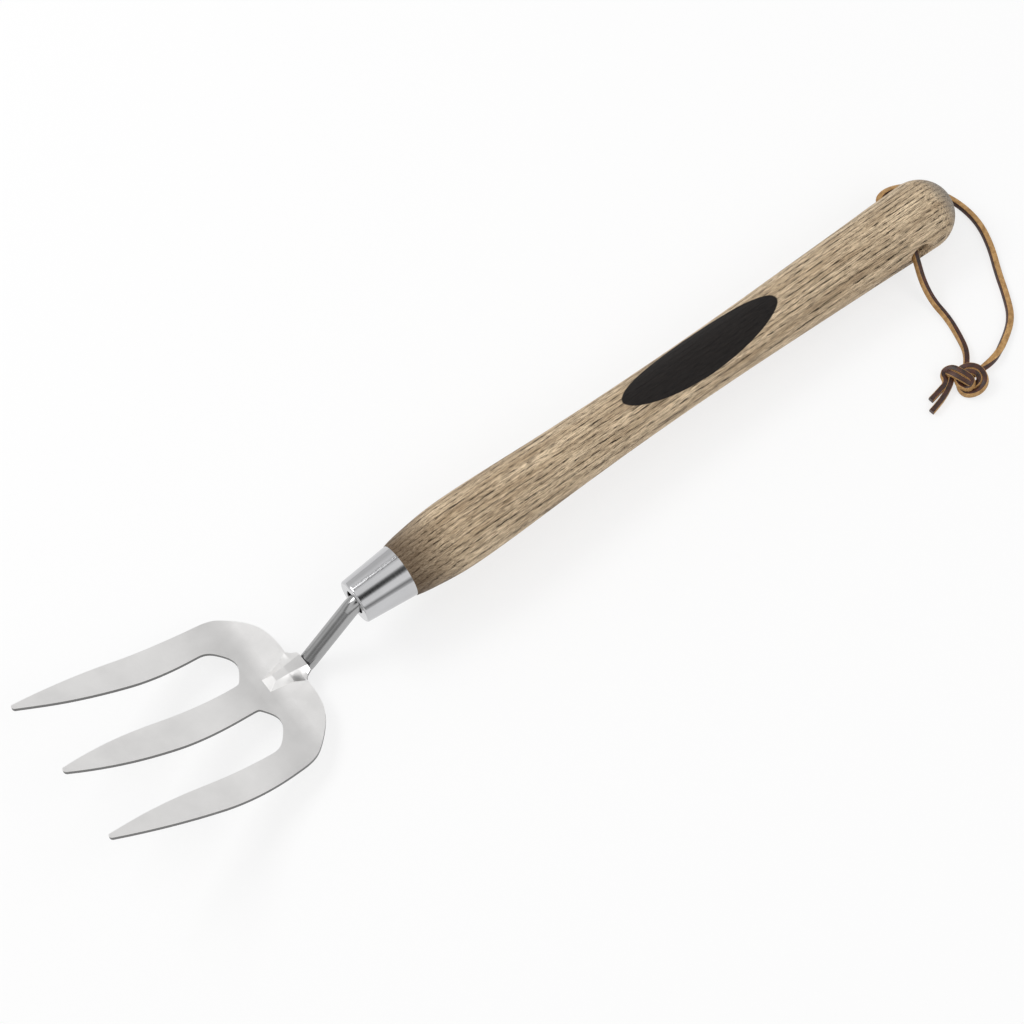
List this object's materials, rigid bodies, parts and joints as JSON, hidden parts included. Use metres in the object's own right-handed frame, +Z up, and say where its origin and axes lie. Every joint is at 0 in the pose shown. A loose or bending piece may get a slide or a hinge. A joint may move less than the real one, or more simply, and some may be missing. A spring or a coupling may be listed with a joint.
{
  "type": "digging fork",
  "caption": "Hand digging fork with pressed stainless tines, cranked rod neck, conical ferrule, turned ash handle and leather hanging thong.",
  "frame": {"origin": "on the surface the tool lies on, under the middle of its length and width", "axes": "+X along the tool from the tines to the butt of the handle, +Y across the tines and along the thong bore, +Z up out of the hollow face of the tines"},
  "size_m": [0.4952, 0.1281, 0.0625],
  "materials": {
    "brushed_stainless": "satin polished sheet",
    "polished_stainless": "polished round bar",
    "weld_metal": "brushed weld bead",
    "ferrule_stainless": "polished spun cone",
    "ash_wood": "dark-grained oiled ash",
    "leather": "waxed leather lace with tan cut edges"
  },
  "bodies": {
    "root": {"fork_head": "brushed_stainless", "neck_tang": "polished_stainless", "neck_weld": "weld_metal", "ferrule": "ferrule_stainless", "handle": "ash_wood", "thong_front": "leather", "thong_back": "leather", "thong_knot": "leather", "thong_front_tail": "leather", "thong_back_tail": "leather"}
  },
  "joints": []
}
